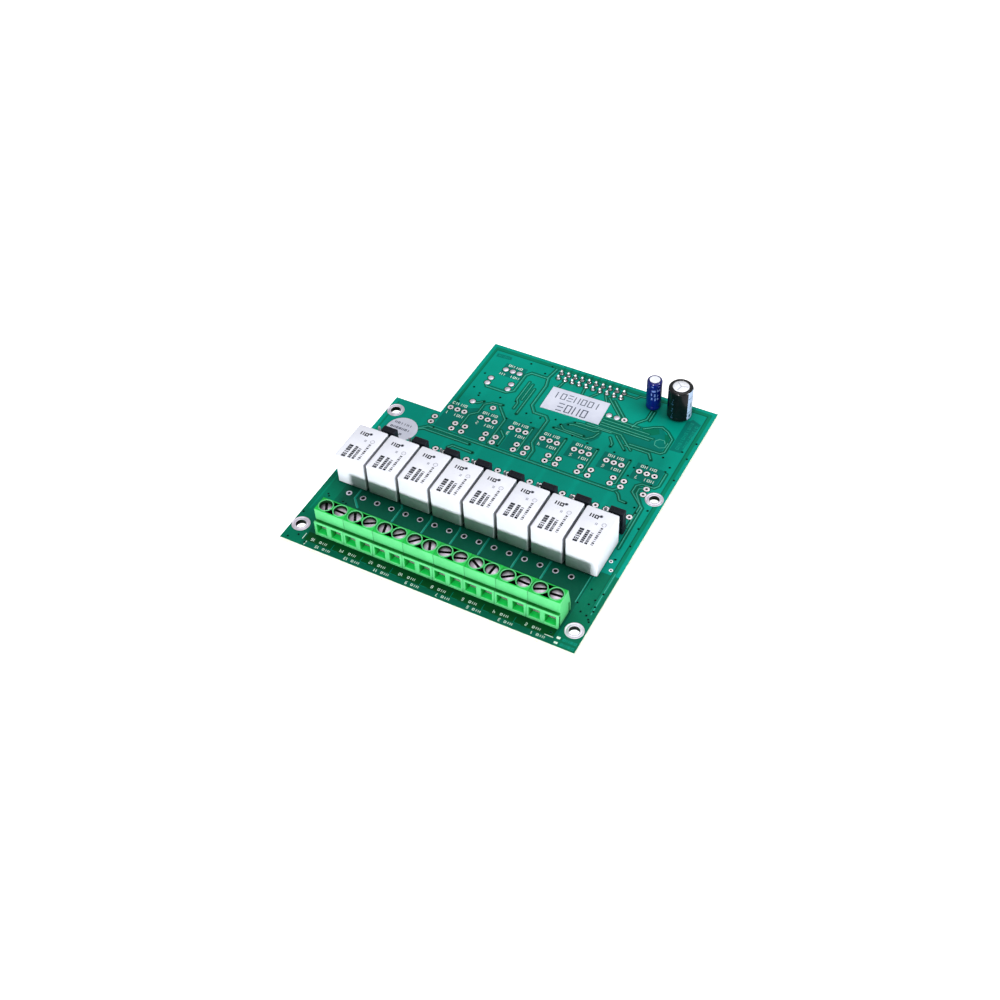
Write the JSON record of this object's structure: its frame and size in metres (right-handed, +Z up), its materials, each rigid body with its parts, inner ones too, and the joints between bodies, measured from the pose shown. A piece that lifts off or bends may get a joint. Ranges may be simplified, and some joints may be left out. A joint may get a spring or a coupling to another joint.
{
  "type": "relay module board",
  "caption": "L-shaped circuit board with a row of screw terminals along one edge, relays with jumpers behind them, upright capacitors and a stacking socket underneath.",
  "frame": {"origin": "centre of the four mounting holes, on the underside of the board", "axes": "+X right along the terminal edge, +Y from the terminals to the back, +Z up out of the component side"},
  "size_m": [0.0982, 0.1067, 0.0223],
  "materials": {
    "circuit_board": "glossy green solder mask over pale laminate",
    "terminal_plastic": "satin moulded",
    "clamp_screw": "zinc plated",
    "wire_clamp": "nickel plated",
    "tinned_contact": "tinned",
    "relay_cover": "satin moulded",
    "relay_base": "satin moulded",
    "tinned_lead": "tinned",
    "header_plastic": "satin moulded",
    "shunt_plastic": "semi-gloss moulded",
    "capacitor_blue": "aluminium can in a glossy dark blue sleeve",
    "capacitor_black": "aluminium can in a glossy black sleeve"
  },
  "bodies": {
    "board_assembly": {"board": "circuit_board", "terminal_contacts": "tinned_contact", "relay_bases": "relay_base", "relay_pins": "tinned_lead", "jumper_headers": "header_plastic", "jumper_pins": "tinned_lead", "jumper_shunts": "shunt_plastic", "capacitor_small": "capacitor_blue", "capacitor_large": "capacitor_black", "socket_body": "header_plastic", "socket_contacts": "tinned_lead", "terminal_housing_1": "terminal_plastic", "relay_cover_1": "relay_cover", "terminal_housing_2": "terminal_plastic", "relay_cover_2": "relay_cover", "terminal_housing_3": "terminal_plastic", "relay_cover_3": "relay_cover", "terminal_housing_4": "terminal_plastic", "relay_cover_4": "relay_cover", "terminal_housing_5": "terminal_plastic", "relay_cover_5": "relay_cover", "terminal_housing_6": "terminal_plastic", "relay_cover_6": "relay_cover", "terminal_housing_7": "terminal_plastic", "relay_cover_7": "relay_cover", "terminal_housing_8": "terminal_plastic", "relay_cover_8": "relay_cover"},
    "clamp_screw_01": {"clamp_screw_01": "clamp_screw"},
    "wire_clamp_01": {"wire_clamp_01": "wire_clamp"},
    "clamp_screw_02": {"clamp_screw_02": "clamp_screw"},
    "wire_clamp_02": {"wire_clamp_02": "wire_clamp"},
    "clamp_screw_03": {"clamp_screw_03": "clamp_screw"},
    "wire_clamp_03": {"wire_clamp_03": "wire_clamp"},
    "clamp_screw_04": {"clamp_screw_04": "clamp_screw"},
    "wire_clamp_04": {"wire_clamp_04": "wire_clamp"},
    "clamp_screw_05": {"clamp_screw_05": "clamp_screw"},
    "wire_clamp_05": {"wire_clamp_05": "wire_clamp"},
    "clamp_screw_06": {"clamp_screw_06": "clamp_screw"},
    "wire_clamp_06": {"wire_clamp_06": "wire_clamp"},
    "clamp_screw_07": {"clamp_screw_07": "clamp_screw"},
    "wire_clamp_07": {"wire_clamp_07": "wire_clamp"},
    "clamp_screw_08": {"clamp_screw_08": "clamp_screw"},
    "wire_clamp_08": {"wire_clamp_08": "wire_clamp"},
    "clamp_screw_09": {"clamp_screw_09": "clamp_screw"},
    "wire_clamp_09": {"wire_clamp_09": "wire_clamp"},
    "clamp_screw_10": {"clamp_screw_10": "clamp_screw"},
    "wire_clamp_10": {"wire_clamp_10": "wire_clamp"},
    "clamp_screw_11": {"clamp_screw_11": "clamp_screw"},
    "wire_clamp_11": {"wire_clamp_11": "wire_clamp"},
    "clamp_screw_12": {"clamp_screw_12": "clamp_screw"},
    "wire_clamp_12": {"wire_clamp_12": "wire_clamp"},
    "clamp_screw_13": {"clamp_screw_13": "clamp_screw"},
    "wire_clamp_13": {"wire_clamp_13": "wire_clamp"},
    "clamp_screw_14": {"clamp_screw_14": "clamp_screw"},
    "wire_clamp_14": {"wire_clamp_14": "wire_clamp"},
    "clamp_screw_15": {"clamp_screw_15": "clamp_screw"},
    "wire_clamp_15": {"wire_clamp_15": "wire_clamp"},
    "clamp_screw_16": {"clamp_screw_16": "clamp_screw"},
    "wire_clamp_16": {"wire_clamp_16": "wire_clamp"}
  },
  "joints": [
    {"name": "clamp_screw_01_turn", "type": "hinge", "parent": "board_assembly", "child": "clamp_screw_01", "pos_m": [-0.03703, -0.02541, 0.0106], "axis": [0, 0, -1], "range_deg": [0, 1261]},
    {"name": "wire_clamp_01_rise", "type": "slide", "parent": "board_assembly", "child": "wire_clamp_01", "axis": [0, 0, 1], "range_m": [0, 0.00158]},
    {"name": "clamp_screw_02_turn", "type": "hinge", "parent": "board_assembly", "child": "clamp_screw_02", "pos_m": [-0.03195, -0.02541, 0.0106], "axis": [0, 0, -1], "range_deg": [0, 1261]},
    {"name": "wire_clamp_02_rise", "type": "slide", "parent": "board_assembly", "child": "wire_clamp_02", "axis": [0, 0, 1], "range_m": [0, 0.00158]},
    {"name": "clamp_screw_03_turn", "type": "hinge", "parent": "board_assembly", "child": "clamp_screw_03", "pos_m": [-0.02687, -0.02541, 0.0106], "axis": [0, 0, -1], "range_deg": [0, 1261]},
    {"name": "wire_clamp_03_rise", "type": "slide", "parent": "board_assembly", "child": "wire_clamp_03", "axis": [0, 0, 1], "range_m": [0, 0.00158]},
    {"name": "clamp_screw_04_turn", "type": "hinge", "parent": "board_assembly", "child": "clamp_screw_04", "pos_m": [-0.02179, -0.02541, 0.0106], "axis": [0, 0, -1], "range_deg": [0, 1261]},
    {"name": "wire_clamp_04_rise", "type": "slide", "parent": "board_assembly", "child": "wire_clamp_04", "axis": [0, 0, 1], "range_m": [0, 0.00158]},
    {"name": "clamp_screw_05_turn", "type": "hinge", "parent": "board_assembly", "child": "clamp_screw_05", "pos_m": [-0.01671, -0.02541, 0.0106], "axis": [0, 0, -1], "range_deg": [0, 1261]},
    {"name": "wire_clamp_05_rise", "type": "slide", "parent": "board_assembly", "child": "wire_clamp_05", "axis": [0, 0, 1], "range_m": [0, 0.00158]},
    {"name": "clamp_screw_06_turn", "type": "hinge", "parent": "board_assembly", "child": "clamp_screw_06", "pos_m": [-0.01163, -0.02541, 0.0106], "axis": [0, 0, -1], "range_deg": [0, 1261]},
    {"name": "wire_clamp_06_rise", "type": "slide", "parent": "board_assembly", "child": "wire_clamp_06", "axis": [0, 0, 1], "range_m": [0, 0.00158]},
    {"name": "clamp_screw_07_turn", "type": "hinge", "parent": "board_assembly", "child": "clamp_screw_07", "pos_m": [-0.00655, -0.02541, 0.0106], "axis": [0, 0, -1], "range_deg": [0, 1261]},
    {"name": "wire_clamp_07_rise", "type": "slide", "parent": "board_assembly", "child": "wire_clamp_07", "axis": [0, 0, 1], "range_m": [0, 0.00158]},
    {"name": "clamp_screw_08_turn", "type": "hinge", "parent": "board_assembly", "child": "clamp_screw_08", "pos_m": [-0.00147, -0.02541, 0.0106], "axis": [0, 0, -1], "range_deg": [0, 1261]},
    {"name": "wire_clamp_08_rise", "type": "slide", "parent": "board_assembly", "child": "wire_clamp_08", "axis": [0, 0, 1], "range_m": [0, 0.00158]},
    {"name": "clamp_screw_09_turn", "type": "hinge", "parent": "board_assembly", "child": "clamp_screw_09", "pos_m": [0.00361, -0.02541, 0.0106], "axis": [0, 0, -1], "range_deg": [0, 1261]},
    {"name": "wire_clamp_09_rise", "type": "slide", "parent": "board_assembly", "child": "wire_clamp_09", "axis": [0, 0, 1], "range_m": [0, 0.00158]},
    {"name": "clamp_screw_10_turn", "type": "hinge", "parent": "board_assembly", "child": "clamp_screw_10", "pos_m": [0.00869, -0.02541, 0.0106], "axis": [0, 0, -1], "range_deg": [0, 1261]},
    {"name": "wire_clamp_10_rise", "type": "slide", "parent": "board_assembly", "child": "wire_clamp_10", "axis": [0, 0, 1], "range_m": [0, 0.00158]},
    {"name": "clamp_screw_11_turn", "type": "hinge", "parent": "board_assembly", "child": "clamp_screw_11", "pos_m": [0.01377, -0.02541, 0.0106], "axis": [0, 0, -1], "range_deg": [0, 1261]},
    {"name": "wire_clamp_11_rise", "type": "slide", "parent": "board_assembly", "child": "wire_clamp_11", "axis": [0, 0, 1], "range_m": [0, 0.00158]},
    {"name": "clamp_screw_12_turn", "type": "hinge", "parent": "board_assembly", "child": "clamp_screw_12", "pos_m": [0.01885, -0.02541, 0.0106], "axis": [0, 0, -1], "range_deg": [0, 1261]},
    {"name": "wire_clamp_12_rise", "type": "slide", "parent": "board_assembly", "child": "wire_clamp_12", "axis": [0, 0, 1], "range_m": [0, 0.00158]},
    {"name": "clamp_screw_13_turn", "type": "hinge", "parent": "board_assembly", "child": "clamp_screw_13", "pos_m": [0.02393, -0.02541, 0.0106], "axis": [0, 0, -1], "range_deg": [0, 1261]},
    {"name": "wire_clamp_13_rise", "type": "slide", "parent": "board_assembly", "child": "wire_clamp_13", "axis": [0, 0, 1], "range_m": [0, 0.00158]},
    {"name": "clamp_screw_14_turn", "type": "hinge", "parent": "board_assembly", "child": "clamp_screw_14", "pos_m": [0.02901, -0.02541, 0.0106], "axis": [0, 0, -1], "range_deg": [0, 1261]},
    {"name": "wire_clamp_14_rise", "type": "slide", "parent": "board_assembly", "child": "wire_clamp_14", "axis": [0, 0, 1], "range_m": [0, 0.00158]},
    {"name": "clamp_screw_15_turn", "type": "hinge", "parent": "board_assembly", "child": "clamp_screw_15", "pos_m": [0.03409, -0.02541, 0.0106], "axis": [0, 0, -1], "range_deg": [0, 1261]},
    {"name": "wire_clamp_15_rise", "type": "slide", "parent": "board_assembly", "child": "wire_clamp_15", "axis": [0, 0, 1], "range_m": [0, 0.00158]},
    {"name": "clamp_screw_16_turn", "type": "hinge", "parent": "board_assembly", "child": "clamp_screw_16", "pos_m": [0.03917, -0.02541, 0.0106], "axis": [0, 0, -1], "range_deg": [0, 1261]},
    {"name": "wire_clamp_16_rise", "type": "slide", "parent": "board_assembly", "child": "wire_clamp_16", "axis": [0, 0, 1], "range_m": [0, 0.00158]}
  ],
  "couplings": [
    {"joint": "clamp_screw_01_turn", "follows": "wire_clamp_01_rise", "rad_per_m": 13963},
    {"joint": "clamp_screw_02_turn", "follows": "wire_clamp_02_rise", "rad_per_m": 13963},
    {"joint": "clamp_screw_03_turn", "follows": "wire_clamp_03_rise", "rad_per_m": 13963},
    {"joint": "clamp_screw_04_turn", "follows": "wire_clamp_04_rise", "rad_per_m": 13963},
    {"joint": "clamp_screw_05_turn", "follows": "wire_clamp_05_rise", "rad_per_m": 13963},
    {"joint": "clamp_screw_06_turn", "follows": "wire_clamp_06_rise", "rad_per_m": 13963},
    {"joint": "clamp_screw_07_turn", "follows": "wire_clamp_07_rise", "rad_per_m": 13963},
    {"joint": "clamp_screw_08_turn", "follows": "wire_clamp_08_rise", "rad_per_m": 13963},
    {"joint": "clamp_screw_09_turn", "follows": "wire_clamp_09_rise", "rad_per_m": 13963},
    {"joint": "clamp_screw_10_turn", "follows": "wire_clamp_10_rise", "rad_per_m": 13963},
    {"joint": "clamp_screw_11_turn", "follows": "wire_clamp_11_rise", "rad_per_m": 13963},
    {"joint": "clamp_screw_12_turn", "follows": "wire_clamp_12_rise", "rad_per_m": 13963},
    {"joint": "clamp_screw_13_turn", "follows": "wire_clamp_13_rise", "rad_per_m": 13963},
    {"joint": "clamp_screw_14_turn", "follows": "wire_clamp_14_rise", "rad_per_m": 13963},
    {"joint": "clamp_screw_15_turn", "follows": "wire_clamp_15_rise", "rad_per_m": 13963},
    {"joint": "clamp_screw_16_turn", "follows": "wire_clamp_16_rise", "rad_per_m": 13963}
  ]
}
